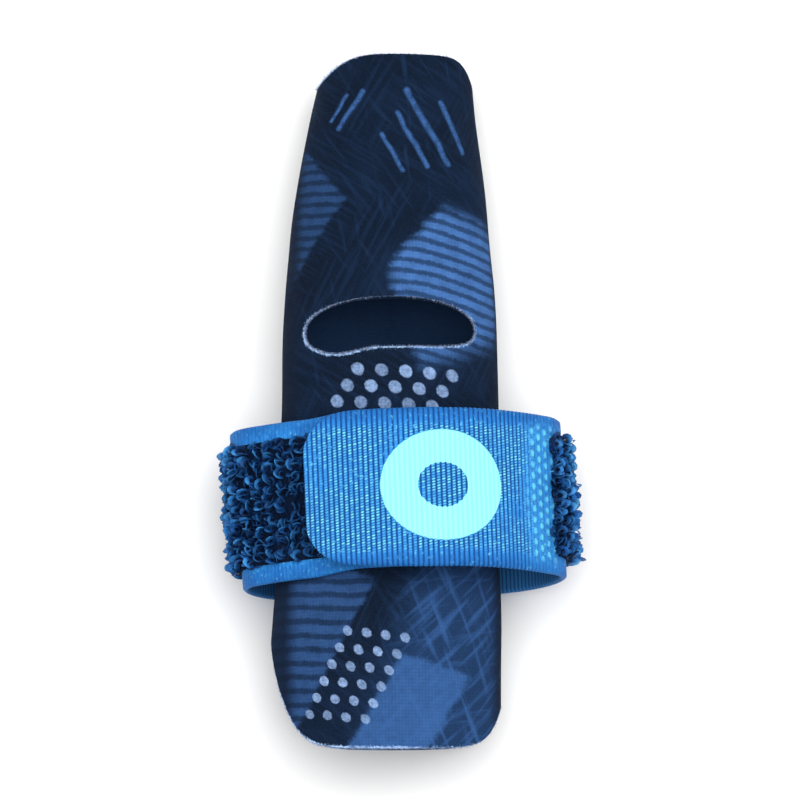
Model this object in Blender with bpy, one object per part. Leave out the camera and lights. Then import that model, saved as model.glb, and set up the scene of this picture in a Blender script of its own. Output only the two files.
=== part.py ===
"""Finger immobilization sleeve, closed with a hook-and-loop strap.

The sleeve lies on its back: X runs across the finger, Y along it towards the fingertip, and Z up, away from
the surface it lies on. The origin is on that surface, midway between the outermost points in X and in Y.
"""

import math

import bmesh
import bpy
import numpy as np
from mathutils import Matrix, Vector

MM = 0.001

# The sleeve: a tube of foam-backed fabric, open at both ends
SLEEVE_LENGTH = 88.6 * MM
SLEEVE_WIDTH = 28.8 * MM
SLEEVE_DEPTH = 17.5 * MM
SLEEVE_WALL = 2.0 * MM
# The exponent of the oval section: 2 is an ellipse, and more is squarer
SLEEVE_OVAL = 2.15
# One column is one section, in shares: along of the length, width and middle of the width, and depth of the
# depth
SLEEVE_SECTIONS = {
    "along": (0.00, 0.13, 0.23, 0.50, 0.66, 0.74, 0.82, 0.91, 1.00),
    "width": (0.99, 1.00, 0.980, 0.944, 0.912, 0.871, 0.812, 0.735, 0.640),
    "depth": (0.94, 0.98, 1.000, 1.000, 0.970, 0.935, 0.890, 0.830, 0.780),
    "middle": (-0.050, -0.052, -0.048, -0.037, -0.035, -0.035, -0.031, -0.023, -0.008),
}

# The cut edges of the sleeve: how far the side corners fall short of the middle, and how suddenly
BASE_CORNER_LEFT = 11.2 * MM
BASE_CORNER_RIGHT = 4.4 * MM
BASE_SHARPNESS_LEFT = 5.8
BASE_SHARPNESS_RIGHT = 9.5
TIP_CORNER = 3.3 * MM
TIP_SHARPNESS_LEFT = 2.4
TIP_SHARPNESS_RIGHT = 11.0
# The back of the sleeve is cut shorter than the front at the base
BASE_SLANT = 3.1 * MM

# The slot over the knuckle, cut through the front of the sleeve
SLOT_WIDTH = 21.3 * MM
SLOT_HEIGHT = 6.6 * MM
SLOT_FROM_BASE = 52.9 * MM
SLOT_DROOP = 0.9 * MM
# The slot's lower left lobe: how far it sags, and its middle and reach in shares of the slot's half width
SLOT_LOBE = 0.9 * MM
LOBE_MIDDLE = -0.70
LOBE_REACH = 0.55
SLOT_TURN = 0.8
SLOT_OVAL = 2.7

# The strap: a band of webbing with loop pile outside it, and hooks under its free end
STRAP_WIDTH = 20.0 * MM
STRAP_FROM_BASE = 31.3 * MM
STRAP_TURN = 2.2
WEBBING_THICKNESS = 1.0 * MM
PILE_THICKNESS = 1.1 * MM
PILE_WIDTH = 15.4 * MM
HOOK_THICKNESS = 0.5 * MM
HOOK_WIDTH = 14.6 * MM
HOOK_LENGTH = 11.0 * MM
HOOK_INSET = 2.6 * MM
TAB_CORNER = 5.4 * MM
# The lower edge of the tab runs in by this much, over this length before its end
TAB_TAPER = 0.75 * MM
TAPER_LENGTH = 14.0 * MM

# The room that the strap's loop leaves beside the sleeve and over its front
SIDE_ROOM = 4.3 * MM
FRONT_ROOM = 0.35 * MM
# Shares: the side bends' height of the sleeve's depth, the flat back of the loop's half width, and the bends'
# radius of their height
SIDE_HEIGHT_SHARE = 0.5
FLAT_BACK_SHARE = 0.45
SIDE_BEND_SHARE = 0.42
# Where the layers start and end, measured round the band from its front crown or from its right-hand bend
TAB_REACH = 10.6 * MM
INNER_REACH = 6.0 * MM
PILE_REACH = 4.5 * MM
PILE_START = 3.4 * MM

# The gap that touching pieces keep
GAP = 0.3 * MM

# How finely the curved pieces are faceted: segments, a length along the band and angles in degrees
AROUND = 48
ALONG = 26
SLOT_SIDES = 40
STRIP_STEP = 1.4 * MM
ARC_STEP = 3.0
CORNER_STEP = 15
SMOOTH_UNDER = 35.0

# Where the strap lies, and the levels of the layers under the sleeve
BASE_Y = -SLEEVE_LENGTH / 2
STRAP_Y = BASE_Y + STRAP_FROM_BASE
UNDER_SLEEVE = PILE_THICKNESS + GAP + WEBBING_THICKNESS + GAP
BACK_LEVEL = PILE_THICKNESS + GAP + WEBBING_THICKNESS / 2
# The middle line of the band: its front crown, its half width, its side bends and its flat back
CROWN = UNDER_SLEEVE + SLEEVE_DEPTH + GAP + FRONT_ROOM + WEBBING_THICKNESS / 2
LOOP_HALF = SLEEVE_WIDTH / 2 + max(abs(m) for m in SLEEVE_SECTIONS["middle"]) * SLEEVE_WIDTH + SIDE_ROOM
SIDE_HEIGHT = UNDER_SLEEVE + SLEEVE_DEPTH * SIDE_HEIGHT_SHARE
SIDE_BEND = SIDE_HEIGHT * SIDE_BEND_SHARE
FLAT_HALF = LOOP_HALF * FLAT_BACK_SHARE
# How far the outer turn stands out from the first one, and the levels of the pile and hooks beside the band
TAB_RISE = WEBBING_THICKNESS + GAP + PILE_THICKNESS + GAP + HOOK_THICKNESS + GAP
PILE_LEVEL = WEBBING_THICKNESS / 2 + GAP + PILE_THICKNESS / 2
HOOK_LEVEL = -(WEBBING_THICKNESS / 2 + GAP + HOOK_THICKNESS / 2)


def smoothstep(share):
    """0 below 0, 1 above 1, and an S-curve between them."""
    share = min(1.0, max(0.0, share))
    return share * share * (3 - 2 * share)


def section(column, share):
    """One row of the sleeve's table at a share of the length, on a curve that stays between its values."""
    along = SLEEVE_SECTIONS["along"]
    values = SLEEVE_SECTIONS[column]
    slopes = [(v2 - v1) / (a2 - a1) for a1, a2, v1, v2 in zip(along, along[1:], values, values[1:])]
    inner = [0.0 if s1 * s2 <= 0 else 2 * s1 * s2 / (s1 + s2) for s1, s2 in zip(slopes, slopes[1:])]
    bends = [slopes[0], *inner, slopes[-1]]
    share = min(1.0, max(0.0, share))
    i = max(k for k in range(len(slopes)) if along[k] <= share)
    step = along[i + 1] - along[i]
    t = (share - along[i]) / step
    left = values[i] * (1 + 2 * t) * (1 - t) ** 2 + bends[i] * step * t * (1 - t) ** 2
    right = values[i + 1] * t * t * (3 - 2 * t) - bends[i + 1] * step * t * t * (1 - t)
    return left + right


def lift(y):
    """How high the sleeve's back lies: up on the strap that passes under it, and down at its two ends."""
    reach = STRAP_WIDTH / 2 + LOOP_HALF * math.sin(math.radians(abs(STRAP_TURN)))
    if y > STRAP_Y:
        run = -BASE_Y - STRAP_Y - reach
    else:
        run = STRAP_Y - BASE_Y - BASE_SLANT - reach
    return UNDER_SLEEVE * (1 - smoothstep((abs(y - STRAP_Y) - reach) / run))


def oval(angle, exponent):
    """A point of the unit oval of that exponent."""
    c = math.cos(angle)
    s = math.sin(angle)
    return math.copysign(abs(c) ** (2 / exponent), c), math.copysign(abs(s) ** (2 / exponent), s)


def sleeve_ends(across, up):
    """The Y of the sleeve's base edge and tip edge, at shares across it and up from its middle."""
    left = across < 0
    corner = BASE_CORNER_LEFT if left else BASE_CORNER_RIGHT
    base_sharpness = BASE_SHARPNESS_LEFT if left else BASE_SHARPNESS_RIGHT
    tip_sharpness = TIP_SHARPNESS_LEFT if left else TIP_SHARPNESS_RIGHT
    base = BASE_Y + corner * abs(across) ** base_sharpness + BASE_SLANT * (1 - up) / 2
    tip = -BASE_Y - TIP_CORNER * abs(across) ** tip_sharpness
    return base, tip


def sleeve_point(angle, share, inset):
    """A point of the sleeve: the angle round it, the share from base to tip edge, the depth in its wall."""
    across, up = oval(angle, SLEEVE_OVAL)
    base, tip = sleeve_ends(across, up)
    y = base + (tip - base) * share
    along = (y - BASE_Y) / SLEEVE_LENGTH
    half_width = section("width", along) * SLEEVE_WIDTH / 2
    half_depth = section("depth", along) * SLEEVE_DEPTH / 2
    x = section("middle", along) * SLEEVE_WIDTH + (half_width - inset) * across
    z = lift(y) + half_depth + (half_depth - inset) * up
    return x, y, z


def sleeve_wall(bm):
    """A grid rolled up: out along the outer face, over the tip, back along the inner face, over the base."""
    rows = 2 * (ALONG + 1)
    bmesh.ops.create_grid(bm, x_segments=AROUND, y_segments=rows, size=0.5)
    for vertex in bm.verts:
        angle = (vertex.co.x + 0.5) * 2 * math.pi
        row = round((vertex.co.y + 0.5) * rows) % rows
        inner = row > ALONG
        share = (rows - 1 - row if inner else row) / ALONG
        vertex.co = sleeve_point(angle, share, SLEEVE_WALL if inner else 0.0)
    bmesh.ops.remove_doubles(bm, verts=bm.verts, dist=0.001 * MM)


def slot_prism(bm):
    """A prism over the slot, from the middle of the hollow up.

    The slot's ends droop towards the base, and its lower left lobe sags further.
    """
    y = BASE_Y + SLOT_FROM_BASE
    x = section("middle", SLOT_FROM_BASE / SLEEVE_LENGTH) * SLEEVE_WIDTH
    bottom = lift(y) + SLEEVE_DEPTH / 2
    place = Matrix.Translation((x, y, bottom)) @ Matrix.Rotation(math.radians(SLOT_TURN), 4, "Z")
    bmesh.ops.create_circle(bm, cap_ends=True, radius=1.0, segments=SLOT_SIDES)
    for vertex in bm.verts:
        across, up = oval(math.atan2(vertex.co.y, vertex.co.x), SLOT_OVAL)
        near_lobe = max(0.0, 1 - ((across - LOBE_MIDDLE) / LOBE_REACH) ** 2)
        droop = SLOT_DROOP * (across * across - 0.5) + SLOT_LOBE * max(0.0, -up) * near_lobe ** 2
        vertex.co = place @ Vector((across * SLOT_WIDTH / 2, up * SLOT_HEIGHT / 2 - droop, 0.0))
    raised = bmesh.ops.extrude_face_region(bm, geom=bm.faces[:])["geom"]
    top = [item for item in raised if isinstance(item, bmesh.types.BMVert)]
    bmesh.ops.translate(bm, verts=top, vec=(0.0, 0.0, SLEEVE_DEPTH))


def arc(centre, radius, start, end):
    """Points of an arc in the XZ plane, from the start angle to the end angle, in degrees."""
    count = math.ceil(abs(end - start) / ARC_STEP) + 1
    turns = np.radians(np.linspace(start, end, count))
    return [(centre[0] + radius * math.cos(a), centre[1] + radius * math.sin(a)) for a in turns]


def half_loop():
    """The left half of the band's middle line, from its front crown to the middle of its flat back."""
    side = (SIDE_BEND - LOOP_HALF, SIDE_HEIGHT)

    def touching(across, rise):
        """The radius of an arc that starts level, this far from the side bend's middle, and runs into it."""
        return (across * across + rise * rise - SIDE_BEND * SIDE_BEND) / (2 * (rise - SIDE_BEND))

    front_radius = touching(side[0], CROWN - SIDE_HEIGHT)
    back_radius = touching(side[0] + FLAT_HALF, SIDE_HEIGHT - BACK_LEVEL)
    front = (0.0, CROWN - front_radius)
    back = (-FLAT_HALF, BACK_LEVEL + back_radius)
    front_meets = math.degrees(math.atan2(side[1] - front[1], side[0] - front[0]))
    back_meets = math.degrees(math.atan2(side[1] - back[1], side[0] - back[0])) % 360
    return [
        *arc(front, front_radius, 90, front_meets),
        *arc(side, SIDE_BEND, front_meets, back_meets)[1:],
        *arc(back, back_radius, back_meets, 270)[1:],
        (0.0, BACK_LEVEL),
    ]


def whole_loop():
    """The middle line, once round from the front crown by the left: distances, points, outward normals."""
    half = half_loop()
    points = np.array([*half, *[(-x, z) for x, z in reversed(half[:-1])]])
    steps = np.hypot(*np.diff(points, axis=0).T)
    distances = np.concatenate([[0.0], np.cumsum(steps)])
    forward = np.gradient(points, distances, axis=0)
    forward[0] = forward[-1] = (-1.0, 0.0)
    forward /= np.hypot(*forward.T)[:, None]
    normals = np.stack([forward[:, 1], -forward[:, 0]], axis=1)
    return distances, points, normals


LOOP_DISTANCES, LOOP_POINTS, LOOP_NORMALS = whole_loop()
LOOP_LENGTH = float(LOOP_DISTANCES[-1])
# How far round the band passes its right-hand bend
RIGHT_BEND = float(LOOP_DISTANCES[np.argmax(LOOP_POINTS[:, 0])])


def loop_point(distance, outward):
    """A point of the loop: the distance round from its front crown, and how far out of the middle line."""
    at = distance % LOOP_LENGTH
    x, z = (float(np.interp(at, LOOP_DISTANCES, LOOP_POINTS[:, k])) for k in range(2))
    nx, nz = (float(np.interp(at, LOOP_DISTANCES, LOOP_NORMALS[:, k])) for k in range(2))
    climb = LOOP_LENGTH - INNER_REACH - RIGHT_BEND
    out = (outward + TAB_RISE * smoothstep((distance - RIGHT_BEND) / climb)) / math.hypot(nx, nz)
    return x + nx * out, z + nz * out


def stations(start, end, corner):
    """Distances round the loop: steps that all layers share, and closer ones through a rounded end."""
    steps = [i * STRIP_STEP for i in range(math.floor(start / STRIP_STEP), math.ceil(end / STRIP_STEP))]
    margin = STRIP_STEP / 4
    shared = [s for s in steps if start + margin < s < end - corner - margin]
    turns = range(0, 91, CORNER_STEP) if corner else (90,)
    return [start, *shared, *[end - corner + corner * math.sin(math.radians(turn)) for turn in turns]]


def strip(bm, start, end, level, thickness, width, corner=0.0, taper=0.0):
    """A strip along the loop, at a level out of its middle line.

    corner rounds its far end's corners, and taper is how far its lower edge runs in before that end.
    """
    places = stations(start, end, corner)
    bmesh.ops.create_grid(bm, x_segments=len(places) - 1, y_segments=1, size=0.5)
    raised = bmesh.ops.extrude_face_region(bm, geom=bm.faces[:])["geom"]
    outer = {item for item in raised if isinstance(item, bmesh.types.BMVert)}
    turn = Matrix.Translation((0.0, STRAP_Y, 0.0)) @ Matrix.Rotation(math.radians(STRAP_TURN), 4, "Z")
    for vertex in bm.verts:
        distance = places[round((vertex.co.x + 0.5) * (len(places) - 1))]
        past = max(0.0, distance - end + corner)
        half = width / 2 - corner + math.sqrt(max(0.0, corner * corner - past * past))
        x, z = loop_point(distance, level + (thickness if vertex in outer else -thickness) / 2)
        lower = -half + taper * smoothstep((distance - end) / TAPER_LENGTH + 1)
        vertex.co = turn @ Vector((x, half if vertex.co.y > 0 else lower, z))


def add_object(name, build, colour, roughness):
    """A closed object with faces outward and one plain material."""
    bm = bmesh.new()
    build(bm)
    bmesh.ops.recalc_face_normals(bm, faces=bm.faces[:])
    if bm.calc_volume(signed=True) < 0:
        bmesh.ops.reverse_faces(bm, faces=bm.faces[:])
    mesh = bpy.data.meshes.new(name)
    bm.to_mesh(mesh)
    bm.free()
    material = bpy.data.materials.new(name)
    material.use_nodes = True
    shader = material.node_tree.nodes["Principled BSDF"]
    shader.inputs["Base Color"].default_value = (*colour, 1.0)
    shader.inputs["Roughness"].default_value = roughness
    shader.inputs["Metallic"].default_value = 0.0
    mesh.materials.append(material)
    obj = bpy.data.objects.new(name, mesh)
    bpy.context.scene.collection.objects.link(obj)
    return obj


def cut(target, cutter):
    """Take the cutter away from the target, and remove it."""
    cutter.hide_render = True
    cutter.display_type = "WIRE"
    modifier = target.modifiers.new("cut", "BOOLEAN")
    modifier.operation = "DIFFERENCE"
    modifier.solver = "EXACT"
    modifier.object = cutter
    bpy.context.view_layer.update()
    evaluated = target.evaluated_get(bpy.context.evaluated_depsgraph_get())
    mesh = bpy.data.meshes.new_from_object(evaluated)
    target.modifiers.clear()
    old = target.data
    target.data = mesh
    bpy.data.meshes.remove(old)
    mesh.name = target.name
    bpy.data.objects.remove(cutter)


def centre(objects):
    """Move the objects so that the origin is midway between their outermost points in X and in Y."""
    points = np.array([vertex.co for obj in objects for vertex in obj.data.vertices])
    middle = (points.min(axis=0) + points.max(axis=0)) / 2
    for obj in objects:
        obj.data.transform(Matrix.Translation((-middle[0], -middle[1], 0.0)))


def main():
    for obj in list(bpy.data.objects):
        bpy.data.objects.remove(obj)

    sleeve = add_object("finger_sleeve", sleeve_wall, (0.016, 0.036, 0.082), 0.85)
    cut(sleeve, add_object("slot_prism", slot_prism, (0.016, 0.036, 0.082), 0.85))

    tab_end = LOOP_LENGTH + TAB_REACH
    tab = (TAB_CORNER, TAB_TAPER)
    webbing = add_object(
        "strap_webbing",
        lambda bm: strip(bm, -INNER_REACH, tab_end, 0.0, WEBBING_THICKNESS, STRAP_WIDTH, *tab),
        (0.045, 0.287, 0.672),
        0.6,
    )
    pile = add_object(
        "loop_pile",
        lambda bm: strip(bm, -PILE_REACH, RIGHT_BEND + PILE_START, PILE_LEVEL, PILE_THICKNESS, PILE_WIDTH),
        (0.008, 0.040, 0.122),
        0.9,
    )
    hook_end = tab_end - HOOK_INSET
    hooks = add_object(
        "hook_patch",
        lambda bm: strip(bm, hook_end - HOOK_LENGTH, hook_end, HOOK_LEVEL, HOOK_THICKNESS, HOOK_WIDTH),
        (0.010, 0.018, 0.035),
        0.7,
    )

    pieces = [sleeve, webbing, pile, hooks]
    centre(pieces)
    for piece in pieces:
        piece.data.shade_smooth()
        piece.data.set_sharp_from_angle(angle=math.radians(SMOOTH_UNDER))


main()
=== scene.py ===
"""The finger sleeve as it looks: printed foam-backed fabric, ribbed webbing, curled pile and cut edges."""

import math

import bmesh
import bpy
import numpy as np
from mathutils import Matrix, Vector


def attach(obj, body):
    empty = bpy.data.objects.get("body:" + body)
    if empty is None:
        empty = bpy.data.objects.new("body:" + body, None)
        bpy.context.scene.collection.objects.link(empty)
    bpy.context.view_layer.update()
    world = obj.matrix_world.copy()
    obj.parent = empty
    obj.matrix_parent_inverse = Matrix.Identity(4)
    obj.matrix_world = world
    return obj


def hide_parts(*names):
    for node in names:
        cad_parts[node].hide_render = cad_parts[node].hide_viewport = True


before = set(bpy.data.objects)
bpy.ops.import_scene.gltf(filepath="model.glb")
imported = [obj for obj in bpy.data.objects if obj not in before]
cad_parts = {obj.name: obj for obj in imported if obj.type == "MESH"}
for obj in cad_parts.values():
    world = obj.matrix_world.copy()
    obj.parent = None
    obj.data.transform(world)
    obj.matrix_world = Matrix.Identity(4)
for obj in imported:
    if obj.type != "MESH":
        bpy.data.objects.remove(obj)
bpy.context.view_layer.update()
SEED = 11

MM = 0.001

# The sleeve's sizes, as its solid has them, but for fuller corners at the left and for SIDE_RUN
SLEEVE_LENGTH = 88.6 * MM
SLEEVE_WIDTH = 28.8 * MM
SLEEVE_DEPTH = 17.5 * MM
SLEEVE_WALL = 2.0 * MM
SLEEVE_OVAL = 2.15
SLEEVE_SECTIONS = {
    "along": (0.00, 0.13, 0.23, 0.50, 0.66, 0.74, 0.82, 0.91, 1.00),
    "width": (0.99, 1.00, 0.980, 0.944, 0.912, 0.871, 0.812, 0.735, 0.640),
    "depth": (0.94, 0.98, 1.000, 1.000, 0.970, 0.935, 0.890, 0.830, 0.780),
    "middle": (-0.050, -0.052, -0.048, -0.037, -0.035, -0.035, -0.031, -0.023, -0.008),
}
BASE_CORNER = (11.2 * MM, 4.4 * MM)
BASE_SHARPNESS = (6.5, 9.5)
SIDE_RUN = (1.7 * MM, 0.5 * MM)
TIP_CORNER = 3.3 * MM
TIP_SHARPNESS = (4.0, 11.0)
BASE_SLANT = 3.1 * MM
SLOT_WIDTH = 21.3 * MM
SLOT_HEIGHT = 6.6 * MM
SLOT_FROM_BASE = 52.9 * MM
SLOT_DROOP = 0.9 * MM
SLOT_LOBE = 0.9 * MM
LOBE_MIDDLE = -0.70
LOBE_REACH = 0.55
SLOT_TURN = 0.8
SLOT_OVAL = 2.7

# The strap's sizes, as its solids have them
STRAP_WIDTH = 20.0 * MM
STRAP_FROM_BASE = 31.3 * MM
STRAP_TURN = 2.2
WEBBING_THICKNESS = 1.0 * MM
PILE_THICKNESS = 1.1 * MM
PILE_WIDTH = 15.4 * MM
HOOK_THICKNESS = 0.5 * MM
HOOK_WIDTH = 14.6 * MM
HOOK_LENGTH = 11.0 * MM
HOOK_INSET = 2.6 * MM
TAB_CORNER = 5.4 * MM
TAB_TAPER = 0.75 * MM
TAPER_LENGTH = 14.0 * MM
SIDE_ROOM = 4.3 * MM
FRONT_ROOM = 0.35 * MM
TAB_REACH = 10.6 * MM
INNER_REACH = 6.0 * MM
PILE_REACH = 4.5 * MM
PILE_START = 3.4 * MM
GAP = 0.3 * MM

BASE_Y = -SLEEVE_LENGTH / 2
STRAP_Y = BASE_Y + STRAP_FROM_BASE
UNDER_SLEEVE = PILE_THICKNESS + GAP + WEBBING_THICKNESS + GAP
BACK_LEVEL = PILE_THICKNESS + GAP + WEBBING_THICKNESS / 2
CROWN = UNDER_SLEEVE + SLEEVE_DEPTH + GAP + FRONT_ROOM + WEBBING_THICKNESS / 2
LOOP_HALF = SLEEVE_WIDTH / 2 + max(abs(m) for m in SLEEVE_SECTIONS["middle"]) * SLEEVE_WIDTH + SIDE_ROOM
SIDE_HEIGHT = UNDER_SLEEVE + SLEEVE_DEPTH * 0.5
SIDE_BEND = SIDE_HEIGHT * 0.42
FLAT_HALF = LOOP_HALF * 0.45
TAB_RISE = WEBBING_THICKNESS + GAP + PILE_THICKNESS + GAP + HOOK_THICKNESS + GAP

# The knit of the sleeve's face, and the webbing's weave
KNIT_PITCH = 0.42 * MM
RIB_PITCH = 0.57 * MM
RIB_HEIGHT = 0.11 * MM
THREAD_PITCH = 0.35 * MM

# The webbing's welds past the pile's end, and the ring on the tab, placed from the front crown
WELD_PITCH = (1.1 * MM, 1.4 * MM)
WELD_REACH = 4.4 * MM
RING_PLACE = (-5.0 * MM, 0.2 * MM)
RING_OUTER = 6.95 * MM
RING_INNER = 2.83 * MM

# How deep the cut edges of the sleeve fray
END_FRAY = 0.45 * MM
SLOT_FRAY = 0.42 * MM

# How far the left-hand bend leans, how tall a loop of the pile stands, and how much the bends open the pile
BEND_LEAN = 0.9 * MM
LOOP_RISE = 1.0 * MM
PILE_OPENS = 0.35 * MM


def add_camera():
    """A long lens in front of the sleeve, a little towards its base."""
    tilt = math.radians(10.5)
    away = 1.8
    target = Vector((0.00025, 0.00042, 0.012))
    data = bpy.data.cameras.new("view")
    data.sensor_width = 36.0
    data.lens = 360.0 * away
    data.clip_end = 20.0
    camera = bpy.data.objects.new("view", data)
    camera.location = target + away * Vector((0.0, -math.sin(tilt), math.cos(tilt)))
    camera.rotation_euler = (tilt, 0.0, 0.0)
    bpy.context.scene.collection.objects.link(camera)
    bpy.context.scene.camera = camera


# The forms of the sleeve and of the strap's loop


def smoothstep(share):
    share = np.clip(share, 0.0, 1.0)
    return share * share * (3 - 2 * share)


def section_value(column, share):
    """One row of the sleeve's table at a share of the length, on a curve that never overshoots its values."""
    along = SLEEVE_SECTIONS["along"]
    values = SLEEVE_SECTIONS[column]
    slopes = [(v2 - v1) / (a2 - a1) for a1, a2, v1, v2 in zip(along, along[1:], values, values[1:])]
    inner = [0.0 if s1 * s2 <= 0 else 2 * s1 * s2 / (s1 + s2) for s1, s2 in zip(slopes, slopes[1:])]
    bends = [slopes[0], *inner, slopes[-1]]
    i = max(k for k in range(len(slopes)) if along[k] <= share)
    step = along[i + 1] - along[i]
    t = (share - along[i]) / step
    left = values[i] * (1 + 2 * t) * (1 - t) ** 2 + bends[i] * step * t * (1 - t) ** 2
    right = values[i + 1] * t * t * (3 - 2 * t) - bends[i + 1] * step * t * t * (1 - t)
    return left + right


SHARES = np.linspace(0.0, 1.0, 501)
SMOOTH_SECTIONS = {c: np.array([section_value(c, s) for s in SHARES]) for c in ("width", "depth", "middle")}


def section(y):
    """The sleeve's half width, half depth, middle in X and lift off the surface at each y."""
    share = (y - BASE_Y) / SLEEVE_LENGTH
    width, depth, middle = (np.interp(share, SHARES, values) for values in SMOOTH_SECTIONS.values())
    reach = STRAP_WIDTH / 2 + LOOP_HALF * math.sin(math.radians(STRAP_TURN))
    run = np.where(y > STRAP_Y, -BASE_Y - STRAP_Y - reach, STRAP_Y - BASE_Y - BASE_SLANT - reach)
    lift = UNDER_SLEEVE * (1 - smoothstep((abs(y - STRAP_Y) - reach) / run))
    return width * SLEEVE_WIDTH / 2, depth * SLEEVE_DEPTH / 2, middle * SLEEVE_WIDTH, lift


def turned(x, y, angle):
    """x and y, turned from x towards y by an angle in radians."""
    return x * np.cos(angle) - y * np.sin(angle), x * np.sin(angle) + y * np.cos(angle)


def oval(angle, exponent):
    c = np.cos(angle)
    s = np.sin(angle)
    return np.copysign(abs(c) ** (2 / exponent), c), np.copysign(abs(s) ** (2 / exponent), s)


def sleeve_ends(across, up):
    """The Y of the sleeve's base edge and tip edge, at shares across it and up from its middle."""
    left = across < 0
    corner = np.where(left, *BASE_CORNER)
    base = BASE_Y + corner * abs(across) ** np.where(left, *BASE_SHARPNESS) + BASE_SLANT * (1 - up) / 2
    # The base edge's corners run on into the two sides
    base = base + np.where(left, *SIDE_RUN) * abs(across) ** 40
    tip = -BASE_Y - TIP_CORNER * abs(across) ** np.where(left, *TIP_SHARPNESS)
    return base, tip


def sleeve_points(angle, share, inset):
    across, up = oval(angle, SLEEVE_OVAL)
    base, tip = sleeve_ends(across, up)
    y = base + (tip - base) * share
    half_width, half_depth, middle, lift = section(y)
    x = middle + (half_width - inset) * across
    z = lift + half_depth + (half_depth - inset) * up
    return np.stack([x, y, z], axis=1)


def slot_outline(sides):
    """The slot seen from the front, as points in X and Y."""
    y = BASE_Y + SLOT_FROM_BASE
    middle = float(section(np.array([y]))[2][0])
    across, up = oval(np.linspace(0, 2 * math.pi, sides, endpoint=False), SLOT_OVAL)
    near_lobe = np.maximum(0.0, 1 - ((across - LOBE_MIDDLE) / LOBE_REACH) ** 2)
    px = across * SLOT_WIDTH / 2
    py = up * SLOT_HEIGHT / 2 - SLOT_DROOP * (across * across - 0.5)
    py -= SLOT_LOBE * np.maximum(0.0, -up) * near_lobe ** 2
    px, py = turned(px, py, math.radians(SLOT_TURN))
    return np.stack([middle + px, y + py], axis=1)


def arc(centre, radius, start, end):
    count = max(4, math.ceil(abs(end - start) / 0.5))
    turns = np.radians(np.linspace(start, end, count))
    return [(centre[0] + radius * math.cos(a), centre[1] + radius * math.sin(a)) for a in turns]


def whole_loop():
    """The band's middle line, once round from the front crown by the left.

    Returns its distances, points and outward normals."""
    side = (SIDE_BEND - LOOP_HALF, SIDE_HEIGHT)

    def touching(across, rise):
        return (across * across + rise * rise - SIDE_BEND * SIDE_BEND) / (2 * (rise - SIDE_BEND))

    front_radius = touching(side[0], CROWN - SIDE_HEIGHT)
    back_radius = touching(side[0] + FLAT_HALF, SIDE_HEIGHT - BACK_LEVEL)
    front = (0.0, CROWN - front_radius)
    back = (-FLAT_HALF, BACK_LEVEL + back_radius)
    front_meets = math.degrees(math.atan2(side[1] - front[1], side[0] - front[0]))
    back_meets = math.degrees(math.atan2(side[1] - back[1], side[0] - back[0])) % 360
    half = [
        *arc(front, front_radius, 90, front_meets),
        *arc(side, SIDE_BEND, front_meets, back_meets)[1:],
        *arc(back, back_radius, back_meets, 270)[1:],
        (0.0, BACK_LEVEL),
    ]
    points = np.array([*half, *[(-x, z) for x, z in reversed(half[:-1])]])
    distances = np.concatenate([[0.0], np.cumsum(np.hypot(*np.diff(points, axis=0).T))])
    forward = np.gradient(points, distances, axis=0)
    forward[0] = forward[-1] = (-1.0, 0.0)
    forward /= np.hypot(*forward.T)[:, None]
    return distances, points, np.stack([forward[:, 1], -forward[:, 0]], axis=1)


LOOP_DISTANCES, LOOP_POINTS, LOOP_NORMALS = whole_loop()
LOOP_LENGTH = float(LOOP_DISTANCES[-1])
RIGHT_BEND = float(LOOP_DISTANCES[np.argmax(LOOP_POINTS[:, 0])])
TAB_END = LOOP_LENGTH + TAB_REACH


def strap_points(run, across, out):
    """Points of the strap, from distances round the band, places across it and steps out of its middle."""
    at = np.mod(run, LOOP_LENGTH)
    x, z = (np.interp(at, LOOP_DISTANCES, LOOP_POINTS[:, k]) for k in range(2))
    nx, nz = (np.interp(at, LOOP_DISTANCES, LOOP_NORMALS[:, k]) for k in range(2))
    climb = LOOP_LENGTH - INNER_REACH - RIGHT_BEND
    out = (out + TAB_RISE * smoothstep((run - RIGHT_BEND) / climb)) / np.hypot(nx, nz)
    x = x + nx * out
    z = z + nz * out
    # The left-hand bend leans: its lower edge is drawn in
    x = x + BEND_LEAN * np.clip(-x / LOOP_HALF, 0.0, 1.1) ** 4 * (0.5 - across / STRAP_WIDTH)
    x, y = turned(x, across, math.radians(STRAP_TURN))
    return np.stack([x, STRAP_Y + y, z], axis=1)


# Mesh helpers


def get_points(mesh):
    points = np.empty(len(mesh.vertices) * 3, np.float32)
    mesh.vertices.foreach_get("co", points)
    return points.reshape(-1, 3).astype(float)


def set_points(mesh, points):
    mesh.vertices.foreach_set("co", points.astype(np.float32).ravel())
    mesh.update()


def set_values(mesh, **values):
    """Numbers at each point of the mesh, for its material to read."""
    for name, value in values.items():
        layer = mesh.attributes.new(name, "FLOAT", "POINT")
        layer.data.foreach_set("value", value.astype(np.float32).ravel())


def thicken(bm, height):
    """Turns flat faces into a closed solid of a height."""
    raised = bmesh.ops.extrude_face_region(bm, geom=bm.faces[:])["geom"]
    top = [item for item in raised if isinstance(item, bmesh.types.BMVert)]
    bmesh.ops.translate(bm, verts=top, vec=(0.0, 0.0, height))


def slab(columns, rows):
    """A closed flat slab over the unit square, one unit thick, in fine cells, to be mapped onto a strip."""
    bm = bmesh.new()
    bmesh.ops.create_grid(bm, x_segments=columns, y_segments=rows, size=0.5)
    bmesh.ops.translate(bm, verts=bm.verts[:], vec=(0.5, 0.5, 0.0))
    thicken(bm, 1.0)
    return to_mesh(bm, "slab")


def to_mesh(bm, name):
    mesh = bpy.data.meshes.new(name)
    bm.to_mesh(mesh)
    bm.free()
    return mesh


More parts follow.
